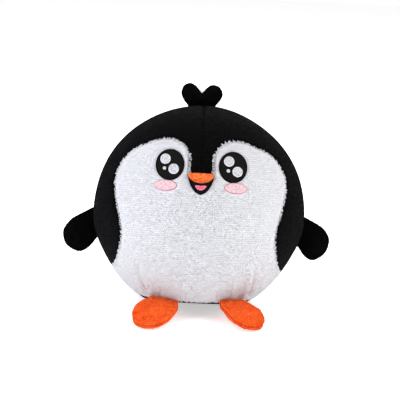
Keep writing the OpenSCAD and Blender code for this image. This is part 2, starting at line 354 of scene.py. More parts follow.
front_seam = arc(crown, unit(notch + [0, 0, 1e-9]))
back_end = base_arc(0, 180)[-1]
back_seam = arc(crown, back_end)
belly_to_side = np.vstack([belly_side[:-1], side_end])
side_low = arc(side_end, base_corner)
side_high = arc(crown, side_end)
base_front = base_arc(BASE_SIDE, 0)
base_back = base_arc(BASE_SIDE, 180)

LOOPS = {
    "belly_panel": joined(belly_to_side, side_low, base_front, flip(base_front)[::-1],
                          flip(side_low)[::-1], flip(belly_to_side)[::-1]),
    "head_panel_left": joined(side_high, belly_to_side[::-1], front_seam[::-1]),
    "back_panel_left": joined(side_high, side_low, base_back, back_seam[::-1]),
    "base_panel": joined(base_arc(0, 360)),
}
FACING = {"belly_panel": (0, -1, -0.12), "head_panel_left": (0.6, -0.5, 0.62),
          "back_panel_left": (0.62, 0.7, 0.1), "base_panel": BASE_AXIS}
for table in (LOOPS, FACING):
    for node in ("head_panel", "back_panel"):
        table[node + "_right"] = flip(table[node + "_left"])


# ---- the face's places, as part.scad's

EYE_SIZE = (11.7, 12.8)
EYE_AT = (12.7, 17.7)
GLINTS = [((-1.8, 2.1), 4.2), ((1.7, -1.9), 4.2), ((-2, -1.7), 1.4)]
CHEEK_SIZE = (9.4, 4.6)
CHEEK_AT = (14.1, 9.3)
BEAK_HALF = [(0, 14.4), (2.6, 14.4), (4.6, 14.2), (5.1, 13.6), (4.4, 12.2), (2.6, 10.9), (0, 10.4)]
MOUTH_HALF = [(0, 13.2), (4.7, 13.2), (4.6, 10.9), (3.8, 9.1), (2.3, 7.1), (0.5, 6.05), (0, 6)]
TONGUE_HALF = [(0, 9.5), (1.3, 9.65), (2.2, 9.5), (1.9, 8.7), (0.9, 7.8), (0, 7.6)]


def ellipse(size, at, step):
    count = int(math.pi * (size[0] + size[1]) / 2 / step)
    turn = np.linspace(0, 2 * np.pi, count, endpoint=False)
    return np.stack([np.cos(turn) * size[0] / 2, np.sin(turn) * size[1] / 2], 1) + at


def whole(half, step):
    """A closed outline from its right half, which runs from the middle line to the middle line."""
    half = curve(half, 6)
    left = [(-x, y) for x, y in half[::-1] if abs(x) > 0.01]
    return spaced(np.vstack([half, left]), step, closed=True)


def eye_loop(side, step=0.5):
    return ellipse(EYE_SIZE, (side * EYE_AT[0], EYE_AT[1]), step)


def cheek_loop(side, step=0.5):
    return ellipse(CHEEK_SIZE, (side * CHEEK_AT[0], CHEEK_AT[1]), step)


SEWN_ON = [eye_loop(1), eye_loop(-1), cheek_loop(1), cheek_loop(-1), whole(MOUTH_HALF, 0.5)]
SEWN_LOW, SEWN_HIGH = np.array([-22, 2]), np.array([22, 27])  # a box in front view round all of it
PRESSED = 0.4  # how deep the embroidery draws the cover in


def pressed(toward):
    """How deep the cover is drawn in round the embroidery."""
    flat = toward[:, [0, 2]] * BALL
    depth = np.zeros(len(flat))
    near = np.flatnonzero((toward[:, 1] < 0) & ((flat > SEWN_LOW) & (flat < SEWN_HIGH)).all(1))
    for loop in SEWN_ON:
        away = edge_distance(flat[near], loop)[0]
        away[inside(flat[near], loop)] *= -1
        depth[near] = np.maximum(depth[near], PRESSED * (1 - smooth(away, -0.3, 1.0)))
    return depth


# ---- materials

KNIT_ROW = 0.87  # from one row of loops to the next, along the cloth


class Finish:
    """A material, with short ways to add nodes to it. Sizes are in mm."""

    def __init__(self, name, **sockets):
        self.material = bpy.data.materials.new(name)
        self.material.use_nodes = True
        self.tree = self.material.node_tree
        self.surface = self.tree.nodes["Principled BSDF"]
        for socket, value in sockets.items():
            self.surface.inputs[socket.replace("_", " ")].default_value = value
        self.place = self.node("ShaderNodeTexCoord").outputs["Object"]

    def node(self, kind, inputs=(), **settings):
        made = self.tree.nodes.new(kind)
        for key, value in settings.items():
            setattr(made, key, value)
        for key, value in dict(inputs).items():
            if isinstance(value, bpy.types.NodeSocket):
                self.tree.links.new(value, made.inputs[key])
            else:
                made.inputs[key].default_value = value
        return made

    def math(self, operation, a, b=0.0):
        return self.node("ShaderNodeMath", {0: a, 1: b}, operation=operation).outputs[0]

    def noise(self, size, detail=2.0, stretch=None):
        """Noise about 0.5, with bumps about size across."""
        place = self.place
        if stretch:
            place = self.node("ShaderNodeMapping", {"Vector": place, "Scale": stretch}).outputs[0]
        return self.node("ShaderNodeTexNoise", {"Vector": place, "Scale": 1 / (size * MM),
                                                "Detail": detail, "Roughness": 0.6}).outputs[0]

    def rows(self, pitch):
        """Knit rows round the toy, from 0 to 1, the same distance apart along the cloth."""
        moved = self.node("ShaderNodeVectorMath", {0: self.place, 1: CENTRE},
                          operation="SUBTRACT").outputs[0]
        upright = self.node("ShaderNodeVectorRotate", {"Vector": moved, "Angle": LEAN},
                            rotation_type="X_AXIS").outputs[0]
        height = self.node("ShaderNodeSeparateXYZ", {0: upright}).outputs["Z"]
        angle = self.math("ARCSINE", self.math("DIVIDE", height, BALL * 1.03 * MM))
        wave = self.math("SINE", self.math("MULTIPLY", angle, 2 * math.pi * BALL / pitch))
        return self.math("MULTIPLY", self.math("ADD", wave, 1.0), 0.5)

    def total(self, *shares):
        """The sum of (value, weight) pairs."""
        out = None
        for value, weight in shares:
            part = self.math("MULTIPLY", value, weight)
            out = part if out is None else self.math("ADD", out, part)
        return out

    def colour(self, factor, *stops):
        """The base colour, from (place, colour) stops along factor."""
        ramp = self.node("ShaderNodeValToRGB", {"Fac": factor})
        for i, (at, rgb) in enumerate(stops):
            stop = ramp.color_ramp.elements[i] if i < 2 else ramp.color_ramp.elements.new(at)
            stop.position, stop.color = at, (*rgb, 1)
        self.tree.links.new(ramp.outputs["Color"], self.surface.inputs["Base Color"])

    def bump(self, height, depth, strength=1.0):
        made = self.node("ShaderNodeBump", {"Height": height, "Distance": depth * MM,
                                            "Strength": strength})
        self.tree.links.new(made.outputs[0], self.surface.inputs["Normal"])


def plush(name, dark, middle, light, rows, mottle, sheen, tint, depth=0.5):
    """Short knitted plush: mottled where the pile lies differently, with knit rows showing through.
    rows and mottle say how much each of them shows, and depth is the bump's, in mm."""
    f = Finish(name, Roughness=0.95, Sheen_Weight=sheen, Sheen_Roughness=0.45, Sheen_Tint=(*tint, 1),
               Specular_IOR_Level=0.03)
    clumps = f.noise(1.1, 3)
    nap = f.noise(6.0, 3)
    fibres = f.noise(0.35, 2)
    row = f.rows(KNIT_ROW)
    f.colour(f.total((clumps, 0.45 * mottle), (nap, 0.35 * mottle), (fibres, 0.2 * mottle), (row, rows)),
             (0.25, dark), (0.75, light), (0.5, middle))
    f.bump(f.total((clumps, 0.5 * mottle), (fibres, 0.35), (row, 0.6 * rows)), depth)
    return f.material


def pile_shade(name, rgb, sheen, tint):
    """One shade of the strands that stand out of the plush. Each pile has three."""
    f = Finish(name, Base_Color=(*rgb, 1), Roughness=0.95, Sheen_Weight=sheen, Sheen_Roughness=0.45,
               Sheen_Tint=(*tint, 1), Specular_IOR_Level=0.03)
    f.bump(f.noise(0.15, 2), 0.05)
    return f.material


def thread(name, dark, light, way, gloss=0.45):
    """Embroidery thread: fine twisted strands along the stitches."""
    f = Finish(name, Roughness=gloss, Specular_IOR_Level=0.05)
    strands = f.noise(0.28, 2, stretch=way)
    patch = f.noise(0.9, 2)
    f.colour(f.total((strands, 0.6), (patch, 0.4)), (0.35, dark), (0.65, light))
    f.bump(strands, 0.12)
    return f.material


def squiggles(name, dark, light, size=1.0):
    """Pale embroidery thread, with a darker strand that wanders through it."""
    f = Finish(name, Roughness=0.6, Specular_IOR_Level=0.05)
    wander = f.noise(size, 1)
    strands = f.noise(0.3, 2)
    f.colour(f.total((wander, 0.9), (strands, 0.1)), (0.43, light), (0.57, light), (0.5, dark))
    f.bump(strands, 0.12)
    return f.material


def foam_finish():
    """Slow-rise foam: fine closed cells under a slightly uneven skin."""
    f = Finish("slow_rise_foam", Roughness=0.8, Subsurface_Weight=0.15, Subsurface_Scale=0.003)
    cells = f.node("ShaderNodeTexVoronoi", {"Vector": f.place, "Scale": 1 / (0.7 * MM)})
    cells = cells.outputs["Distance"]
    f.colour(f.total((cells, 0.6), (f.noise(9, 3), 0.5)),
             (0.2, (0.78, 0.68, 0.42)), (0.8, (0.93, 0.87, 0.66)))
    f.bump(cells, 0.2)
    return f.material


def wadding_finish():
    """Polyester wadding: tangled crimped fibres."""
    f = Finish("wadding_fibres", Roughness=0.9, Sheen_Weight=0.3)
    tangle = f.noise(0.5, 6, stretch=(1, 1, 3))
    f.colour(tangle, (0.3, (0.72, 0.71, 0.66)), (0.7, (0.93, 0.92, 0.88)))
    f.bump(tangle, 0.5)
    return f.material


GREY_SHEEN = (0.8, 0.83, 0.9)
WHITE_SHEEN = (1, 1, 1)
ORANGE_SHEEN = (1, 0.6, 0.35)
PLUSH = {
    "white": plush("white_plush", (0.51, 0.515, 0.53), (0.59, 0.595, 0.615), (0.66, 0.665, 0.685),
                   0.28, 0.4, 0.08, WHITE_SHEEN, 0.3),
    "black": plush("black_plush", (0.0006, 0.0006, 0.0007), (0.0012, 0.0012, 0.0013),
                   (0.0028, 0.0028, 0.003), 0.08, 0.95, 0.019, GREY_SHEEN),
    "orange": plush("orange_plush", (0.42, 0.02, 0.003), (0.72, 0.063, 0.006), (0.87, 0.15, 0.028),
                    0.05, 1.2, 0.12, ORANGE_SHEEN)}
BEAK = plush("beak_plush", (0.36, 0.024, 0.004), (0.64, 0.07, 0.012), (0.82, 0.19, 0.045), 0.0, 2.0,
             0.05, ORANGE_SHEEN)
PILES = {
    kind: [pile_shade(f"{kind}_pile_{number}", rgb, sheen, tint)
           for number, (rgb, sheen) in enumerate(shades, 1)]
    for kind, tint, shades in (
        ("white", WHITE_SHEEN, (((0.63, 0.635, 0.655), 0.08), ((0.655, 0.66, 0.68), 0.08),
                                ((0.60, 0.605, 0.625), 0.08))),
        ("black", GREY_SHEEN, (((0.0011, 0.0011, 0.0012), 0.017), ((0.0028, 0.0028, 0.003), 0.024),
                               ((0.0006, 0.0006, 0.0007), 0.017))),
        ("orange", ORANGE_SHEEN, (((0.71, 0.064, 0.007), 0.1), ((0.85, 0.15, 0.03), 0.1),
                                  ((0.52, 0.033, 0.005), 0.1))),
        ("beak", ORANGE_SHEEN, (((0.70, 0.10, 0.018), 0.05), ((0.86, 0.25, 0.07), 0.05),
                                ((0.4, 0.02, 0.004), 0.05))))}
PILE_SHARES = (0.5, 0.3, 0.2)  # how many strands take each shade


def finished(piece, body, slot, *materials):
    """Gives a piece its materials and its body. The slot argument is not used."""
    for material in materials:
        piece.data.materials.append(material)
    if body:
        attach(piece, body)


# ---- pile


def scattered(points, faces, density, random):
    """Random places on a surface, density of them per square mm, with the surface's directions there."""
    a, b, c = (points[faces[:, i]] for i in range(3))
    cross = np.cross(b - a, c - a)
    area = np.linalg.norm(cross, axis=1) / 2
    count = int(area.sum() * density)
    pick = random.choice(len(faces), count, p=area / area.sum())
    u, v = random.uniform(0, 1, (2, count))
    over = u + v > 1
    u[over], v[over] = 1 - u[over], 1 - v[over]
    place = a[pick] + u[:, None] * (b - a)[pick] + v[:, None] * (c - a)[pick]
    return place, unit(cross[pick])


PILE_SUNK = 0.25  # strands start this far inside the cloth


def pile(name, roots, normals, ways, lengths, widths, rises, kind, random):
    """Strands of plush, each a closed thin pyramid that starts in the cloth and leans along its way.
    rises say how far the tips stand off the cloth, as shares of the lengths."""
    count = len(roots)
    ways = unit(ways - (ways * normals).sum(1, keepdims=True) * normals)
    side = np.cross(normals, ways)
    lengths, widths, rises = lengths[:, None], widths[:, None], rises[:, None]
    sunk = roots - normals * PILE_SUNK
    tip = roots + ways * lengths + normals * lengths * rises
    back = sunk + normals * (widths * 0.8 + 0.2)
    corners = [sunk + side * widths / 2, sunk - side * widths / 2, back, tip]
    points = np.stack(corners, 1).reshape(-1, 3)
    base = np.arange(count)[:, None, None] * 4
    faces = (base + np.array([[0, 1, 2], [0, 3, 1], [1, 3, 2], [2, 3, 0]])).reshape(-1, 3)
    piece = new_object(name, to_world(points), faces)
    shades = np.repeat(random.choice(3, count, p=PILE_SHARES), 4)
    piece.data.polygons.foreach_set("material_index", shades)
    for material in PILES[kind]:
        piece.data.materials.append(material)
    return piece


ROW_SPREAD = 0.26  # how far strands stray from their knit row


def on_rows(roots, random):
    """The same places, moved up or down the ball to the nearest knit row."""
    far = np.linalg.norm(roots, axis=1)
    height = np.arcsin(np.clip(roots[:, 2] / far, -1, 1)) * BALL
    row = np.round(height / KNIT_ROW) * KNIT_ROW + random.normal(0, ROW_SPREAD, len(roots))
    across = roots[:, :2] / np.linalg.norm(roots[:, :2], axis=1, keepdims=True)
    return far[:, None] * np.column_stack([across * np.cos(row / BALL)[:, None], np.sin(row / BALL)])


def pile_on(name, points, faces, density, length, width, rise, kind, seed, keep=None, rows=False):
    """Short pile all over a surface. It leans down the toy, a little unevenly."""
    random = np.random.default_rng(seed)
    roots, normals = scattered(points, faces, density, random)
    if rows:
        roots = on_rows(roots, random)
    if keep is not None:
        stays = keep(roots)
        roots, normals = roots[stays], normals[stays]
    count = len(roots)
    ways = DOWN + random.normal(0, 0.35, (count, 3))
    ways[:, 0] += 0.5 * wobble(roots, 13, seed + 1)
    lengths = length * random.uniform(0.7, 1.25, count)
    widths = width * random.uniform(0.7, 1.3, count)
    rises = rise * random.uniform(0.5, 1.5, count)
    return pile(name, roots, normals, ways, lengths, widths, rises, kind, random)


# ---- the cover's panels

PANEL_CLOTH = 1.4  # thickness of the plush and its backing
PANELS = {"belly_panel": "white", "head_panel_left": "black", "head_panel_right": "black",
          "back_panel_left": "black", "back_panel_right": "black", "base_panel": "black"}


def flat_map(centre):
    """Two functions, from directions near the centre to flat places in mm and back."""
    centre = unit(centre)
    across = unit(np.cross([1.0, 0, 0], centre))
    other = np.cross(centre, across)

    def flatten(toward):
        angle = np.arccos(np.clip(toward @ centre, -1, 1))
        part = np.stack([toward @ across, toward @ other], 1)
        return part * (BALL * angle / np.maximum(np.sin(angle), 1e-9))[:, None]

    def raised(flat):
        angle = np.linalg.norm(flat, axis=1) / BALL
        part = flat[:, :1] * across + flat[:, 1:] * other
        return np.cos(angle)[:, None] * centre + part * (np.sinc(angle / np.pi) / BALL)[:, None]

    return flatten, raised


def seam_dip(gap, along):
    """How deep a seam is drawn in at a distance from it, with a small pucker at each stitch."""
    pucker = 0.16 * np.sin(2 * np.pi * along / 2.4) * np.exp(-gap / 1.3)
    return 0.85 * np.exp(-(gap / 0.75) ** 1.5) + pucker * smooth(gap, 0, 0.6)


def panel(node):
    kind = PANELS[node]
    flatten, raised = flat_map(FACING[node])
    flat, faces, gap, along = filled(flatten(LOOPS[node]), 0.75, (0.3, 0.7))
    toward = unit(raised(flat))
    radius = ball_radius(toward) - seam_dip(gap, along)
    if node == "belly_panel":
        radius -= fold_depth(toward) + pressed(toward)
    points = toward * radius[:, None]
    faces = turned_out(points, faces)
    piece = new_object(node + "_cover", to_world(points), faces)
    thicken(piece, PANEL_CLOTH)
    finished(piece, "body", kind + "_plush", PLUSH[kind])
    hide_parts(node)
    return points, faces


surfaces = {node: panel(node) for node in PANELS}


def off_the_table(roots):
    """Which places are high enough for pile not to reach the table."""
    return to_world(roots)[:, 2] / MM > 1.5


def clear_of_face(roots):
    """Which places are off the table and off the embroidery."""
    flat = roots[:, [0, 2]]
    stays = off_the_table(roots)
    near = np.flatnonzero(((flat > SEWN_LOW) & (flat < SEWN_HIGH)).all(1))
    for loop in SEWN_ON:
        stays[near[inside(flat[near], loop)]] = False
        stays[near[edge_distance(flat[near], loop)[0] < 0.35]] = False
    return stays


COVER_PILE = {"white": 7.0, "black": 3.5}  # strands per square mm

for number, (node, kind) in enumerate(PANELS.items()):
    if node != "base_panel":
        keep = clear_of_face if node == "belly_panel" else off_the_table
        strands = pile_on(node + "_pile", *surfaces[node], COVER_PILE[kind], 0.7, 0.18, 0.05,
                          kind, 100 + number, keep, rows=True)
        finished(strands, "body", kind + "_plush")


def fringe(name, line, inward, seed, per_mm, length):
    """White pile that stands over the edge of the white cloth, along a line of directions."""
    random = np.random.default_rng(seed)
    steps = np.r_[0, np.cumsum(np.linalg.norm(np.diff(line, axis=0), axis=1))] * BALL
    at = random.uniform(0, steps[-1], int(steps[-1] * per_mm))
    toward = unit(np.stack([np.interp(at, steps, line[:, i]) for i in range(3)], 1))
    ahead = unit(np.stack([np.interp(at, steps, np.gradient(line[:, i], steps)) for i in range(3)], 1))
    out = np.cross(ahead, toward)
    out *= -np.sign((out * (inward - toward)).sum(1, keepdims=True))
    start = unit(toward - out * random.uniform(0.2, 1.2, (len(at), 1)) / BALL)
    clump = 0.8 + 0.3 * wobble(start * BALL, 1.5, seed + 1) + random.normal(0, 0.15, len(at))
    ways = out + ahead * random.normal(0, 0.45, (len(at), 1))
    roots = start * (ball_radius(start) - 0.2)[:, None]
    lengths = length * np.clip(clump, 0.35, 1.4)
    widths = random.uniform(0.25, 0.45, len(at))
    rises = random.uniform(0.1, 0.3, len(at))
    piece = pile(name, roots, start, ways, lengths, widths, rises, "white", random)
    finished(piece, "body", "white_plush")


belly_top = np.vstack([flip(belly_side)[::-1], belly_side[1:]])
fringe("belly_fringe", belly_top, unit(np.array([0, -1, -0.1])), 21, 7.0, 0.9)

# ---- embroidery

THREAD_PITCH = 0.42


def stitched(node, loop, height, way, slot, name=None, border=0.7, step=0.17, without=None, raised=0.17):
    """A patch of fill stitches that run along way, inside a border of satin stitches."""
    flat, faces, gap, along = filled(loop, step, (step * 0.8,))
    if without is not None:
        middle = flat[faces].mean(1)
        faces = faces[~inside(middle, without)]
    way = unit(np.array(way))
    over = flat @ np.array([-way[1], way[0]])
    down = flat @ way
    row = np.floor(over / THREAD_PITCH)
    fill = 0.09 * abs(np.sin(np.pi * over / THREAD_PITCH))
    fill -= 0.06 * np.exp(-((((down + row * 1.1) % 2.6) - 1.3) / 0.16) ** 2)
    satin = raised + 0.05 * abs(np.sin(np.pi * along / 0.36))
    edge = 1 - smooth(gap, border - 0.12, border + 0.08)
    lift = height + np.where(edge > 0.5, satin * np.sqrt(np.clip(gap / 0.3, 0.02, 1)), fill)
    lift -= 0.32 * (1 - smooth(gap, 0, 0.22)) + 0.1 * np.exp(-(((gap - border) / 0.1) ** 2))
    toward = on_front(flat)
    points = toward * (ball_radius(toward) + lift)[:, None]
    name = name or node + "_embroidery"
    piece = new_object(name, to_world(points), turned_out(points, faces))
    piece.data.polygons.foreach_set("material_index", (edge[faces].mean(1) > 0.5).astype(int))
    thicken(piece, 0.3)
    finished(piece, "body", slot, *THREADS[slot])
    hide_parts(node)


# The fill's threads run up and down, the border's across it
ALONG_FILL, ALONG_SATIN = (1, 1, 5), (3, 1, 3)
THREADS = {
    "black_thread": (thread("black_fill_thread", (0.002, 0.0019, 0.0017), (0.0065, 0.006, 0.0055),
                            ALONG_FILL, 0.6),
                     thread("black_satin_thread", (0.0006, 0.0006, 0.0007), (0.002, 0.002, 0.0022),
                            ALONG_SATIN, 0.6)),
    "white_thread": (squiggles("white_fill_thread", (0.13, 0.13, 0.14), (0.575, 0.575, 0.60), 0.5),
                     thread("white_satin_thread", (0.60, 0.60, 0.63), (0.70, 0.70, 0.73), ALONG_SATIN)),
    "pale_pink_thread": (
        squiggles("pale_pink_fill_thread", (0.47, 0.16, 0.21), (0.61, 0.49, 0.51), 0.65),
        thread("pale_pink_outline_thread", (0.46, 0.15, 0.21), (0.57, 0.30, 0.35), ALONG_SATIN)),
    "rose_thread": (thread("rose_fill_thread", (0.62, 0.075, 0.16), (0.70, 0.14, 0.24), ALONG_FILL),
                    thread("rose_satin_thread", (0.69, 0.15, 0.25), (0.75, 0.26, 0.36), ALONG_SATIN))}

for side, name in ((1, "left"), (-1, "right")):
    stitched(name + "_eye", eye_loop(side, 0.2), 0.12, (0, 1), "black_thread")
    stitched(name + "_cheek", cheek_loop(side, 0.2), -0.02, (0.5, 1), "pale_pink_thread",
             border=0.35, raised=0.05, without=eye_loop(side, 0.3))
    for number, (offset, width) in enumerate(GLINTS):
        centre = (side * EYE_AT[0] + offset[0], EYE_AT[1] + offset[1])
        stitched(name + "_eye_glints", ellipse((width, width), centre, 0.16), 0.42, (0.3, 1),
                 "white_thread", f"{name}_eye_glint_{number + 1}", border=0.4, step=0.14)
stitched("mouth", whole(MOUTH_HALF, 0.2), 0.1, (1, 0.1), "black_thread")
stitched("tongue", whole(TONGUE_HALF, 0.16), 0.36, (0, 1), "rose_thread",
         border=0.45, step=0.14)

# The pile that the mouth's embroidery doesn't catch, along its edge on the toy's right
mouth_edge = spaced(curve([(-4.9, 12.4), (-4.7, 10.9), (-3.9, 9.1), (-2.6, 7.4)], 6), 0.3)
fringe("mouth_fringe", on_front(mouth_edge), unit(np.array([-0.3, -1, 0.2])), 43, 2.2, 0.85)

# ---- beak

BEAK_RISE = 2.5
BEAK_EDGE = 1.9  # how far from its edge the beak's top is nearly level


def beak():
    """The padded beak: a half-moon of plush, domed, and puckered at its stitches."""
    flat, faces, gap, along = filled(whole(BEAK_HALF, 0.25), 0.28, (0.12, 0.3))
    s = np.clip(gap / BEAK_EDGE, 0, 1)
    lift = -0.1 + (BEAK_RISE - 0.1) * (1 - (1 - s) ** 2) ** 0.62
    toward = on_front(flat)
    place = toward * BALL
    lift += 0.12 * wobble(place, 1.3, 31) * s + 0.05 * wobble(place, 0.5, 32) * s
    lift -= 0.1 * abs(np.sin(np.pi * along / 1.1)) * np.exp(-((gap / 0.5) ** 2))
    points = toward * (ball_radius(toward) + lift)[:, None]
    faces = turned_out(points, faces)
    piece = new_object("beak_cap", to_world(points), faces)
    thicken(piece, 0.5)
    finished(piece, "body", "orange_plush", BEAK)
    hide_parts("beak")
    strands = pile_on("beak_pile", points, faces, 9.0, 0.6, 0.22, 0.1, "beak", 51)
    finished(strands, "body", "orange_plush")


beak()

# ---- flippers, feet and tuft

SIM_SCALE = 20  # cloth behaves better at furniture size, so flaps are inflated enlarged
ROOT_DEPTH = 2.2  # how far a flap runs into its seam
FLAP_CLOTH = 0.8
FOOT_SEAM_LIFT = 1.1  # a foot's seam lies this far above the middle of its thickness
FLAP_SEAM = {"black": 0.25, "orange": 0.9}  # how deep the edge seam is drawn in
FLAP_BARE = {"black": 0, "orange": 0.35}  # no pile stands nearer than this to it
WADDING_FROM = 2.6  # the wadding starts this far from the flap's root
WADDING_WEDGE = 0.34  # and its half thickness grows this fast from there
SHOWN_FROM, SHOWN_TO = -1.2, 2.2  # distances along a flap from its root; stuffed works out the places there, but nothing uses them
SEWN_BELOW = -0.8  # the simulation holds the cloth below this

FLIPPER_EDGE = [(6.8, 0), (10, 3.4), (10.8, 7.3), (6.6, 11.4), (0.8, 11.9), (-3.1, 9.2), (-5, 5.6),
                (-6.8, 0)]
FOOT_HALF = [(0, 20), (4.3, 19.1), (7.3, 16.2), (9, 12.2), (9.5, 7.8), (8.9, 3.6), (7.3, 0)]
TUFT_HALF = [(0, 6.2), (1.9, 7.9), (3.6, 9.2), (5.6, 9.6), (8, 8.3), (9, 5.2), (8, 2.4), (6, 0)]


def whole_from_tip(half):
    """A flap's outline from its root's one end round the tip to the other, from its right half."""
    half = curve(half, 6)
    return np.vstack([half[::-1], half[1:] * [-1, 1]])


def flap_axes(joint, front, back, toward):
    """A flap's own axes, as columns, and its root: X along the root, Y to its tip, Z out of its
    front. toward has a rough direction for X and one for Z."""
    root = to_toy([joints[joint]["pos_m"]])[0]
    across = unit(np.array(joints[joint]["axis"]) @ TURN)
    if across @ toward[0] < 0:
        across = -across
    tips = []
    for node in (front, back):
        points = node_in_toy(node) - root
        off_axis = points - np.outer(points @ across, across)
        tips.append(off_axis[np.argmax(np.linalg.norm(off_axis, axis=1))])
    tip = unit(np.mean(tips, 0))
    out = np.cross(across, tip)
    if out @ toward[1] < 0:
        out = -out
    return np.stack([across, tip, out], 1), root


CLOTH = {"quality": 6, "mass": 0.3, "tension_stiffness": 12, "compression_stiffness": 12,
         "bending_stiffness": 0.6, "use_pressure": True, "uniform_pressure_force": 6,
         "vertex_group_mass": "sewn_in"}
CLOTH_FRAMES = 20
FARTHEST = 3.0  # no point moves further than this in the simulation


def two_layers(faces, edge, count):
    """Two layers of the same faces that share the points on their edge: which of the 2 * count points
    they use, and the faces of both among those."""
    below = np.arange(count) + count
    below[edge] = edge
    all_faces = np.vstack([faces, below[faces][:, ::-1]])
    used = np.unique(all_faces)
    renumber = np.zeros(2 * count, int)
    renumber[used] = np.arange(len(used))
    return used, renumber[all_faces]


def inflated(flat, faces, edge, start, pinned):
    """Two layers of cloth sewn at their edge, blown up by a cloth simulation: the places of both."""
    count = len(flat)
    layer = np.column_stack([flat, start])
    both = np.vstack([layer, layer * [1, 1, -1]])
    used, both_faces = two_layers(faces, edge, count)
    piece = new_object("inflating", both[used] * MM * SIM_SCALE, both_faces)
    group = piece.vertex_groups.new(name="sewn_in")
    held = np.r_[pinned, pinned][used]
    group.add([int(i) for i in np.flatnonzero(held)], 1.0, "REPLACE")
    cloth = piece.modifiers.new("cloth", "CLOTH")
    for setting, value in CLOTH.items():
        setattr(cloth.settings, setting, value)
    cloth.settings.effector_weights.gravity = 0
    cloth.point_cache.frame_start, cloth.point_cache.frame_end = 1, CLOTH_FRAMES
    for number in range(1, CLOTH_FRAMES + 1):
        scene.frame_set(number)
    shown = piece.evaluated_get(bpy.context.evaluated_depsgraph_get())
    moved = both.copy()
    moved[used] = np.array([v.co for v in shown.data.vertices]) / MM / SIM_SCALE
    scene.frame_set(1)
    bpy.data.objects.remove(piece)
    moved[count + edge] = moved[edge]
    step = moved - both
    far = np.linalg.norm(step, axis=1, keepdims=True)
    return both + step * np.minimum(1, FARTHEST / np.maximum(far, 1e-9))


def fitted(outline, low, high, droop):
    """The outline, slanted by droop degrees and sized to the flap's CAD panels: first the part that
    shows, then the closed loop with what runs into the seam."""
    shape = np.array(outline, float)
    shape[:, 1] *= high[1] / shape[:, 1].max()
    shape[:, 0] += shape[:, 1] * math.tan(math.radians(droop))
    shape[:, 0] *= (high[0] - low[0]) / np.ptp(shape[:, 0])
    shape[:, 0] += low[0] - shape[:, 0].min()
    sunk = [[0.8 * shape[-1][0], -ROOT_DEPTH], [0.8 * shape[0][0], -ROOT_DEPTH]]
    return shape, spaced(np.vstack([shape, sunk]), 0.45, closed=True)


def first_swell(flat, edge, side, height, tip):
    """How far a layer stands out before the simulation rounds it: more with the distance from the
    edge, less at the root."""
    past_root = [[side[-1][0], -30], [side[0][0], -30]]
    depth = edge_distance(flat, np.vstack([side, past_root]))[0]
    dome = (1 - (1 - np.clip(depth / depth.max(), 0, 1)) ** 2) ** 0.6
    at_root = 0.32 + 0.68 * smooth(flat[:, 1], -ROOT_DEPTH, 0.5 * tip)
    swell = 0.9 * height * dome * at_root
    swell[edge] = 0
    return swell


def sized(both, flat, low, high, shorter):
    """The simulated cloth, half way back to its outline, and stretched to the CAD panels' size."""
    both[:, :2] = 0.5 * both[:, :2] + 0.5 * np.vstack([flat, flat])
    grow_x = (high[0] - low[0]) / np.ptp(both[:, 0])
    grow_y = shorter * high[1] / both[:, 1].max()
    middle_x = (both[:, 0].max() + both[:, 0].min()) / 2
    both[:, 0] = (both[:, 0] - middle_x) * grow_x + (high[0] + low[0]) / 2
    both[both[:, 1] > 0, 1] *= grow_y
    return both


def seam_draw(flat, gap, loop, deep):
    """How far the cloth moves in the flap's plane: in at the edge seam, and out just beside it."""
    way = np.roll(loop, -1, 0) - np.roll(loop, 1, 0)
    out = np.zeros((len(flat), 2))
    nearest = KDTree(len(loop))
    for i, p in enumerate(loop):
        nearest.insert((*p, 0), i)
    nearest.balance()
    normals = unit(np.stack([way[:, 1], -way[:, 0]], 1))
    if (normals * (loop - loop.mean(0))).sum() < 0:
        normals = -normals
    for i in np.flatnonzero(gap < 1.2):
        out[i] = normals[nearest.find((*flat[i], 0))[1]]
    draw = 0.35 * np.exp(-(((gap - 0.5) / 0.4) ** 2)) - deep * np.exp(-((gap / 0.25) ** 2))
    draw *= flat[:, 1] > 0
    return out * draw[:, None]


def clear_of_seam(axes, root, loop, least):
    """A test for places on a flap: off the table, the root and the edge seam."""
    def keep(roots):
        place = ((roots - root) @ axes)[:, :2]
        clear = edge_distance(place, loop)[0] > least
        return clear & (place[:, 1] > 0.2) & (to_world(roots)[:, 2] / MM > 0.6)
    return keep


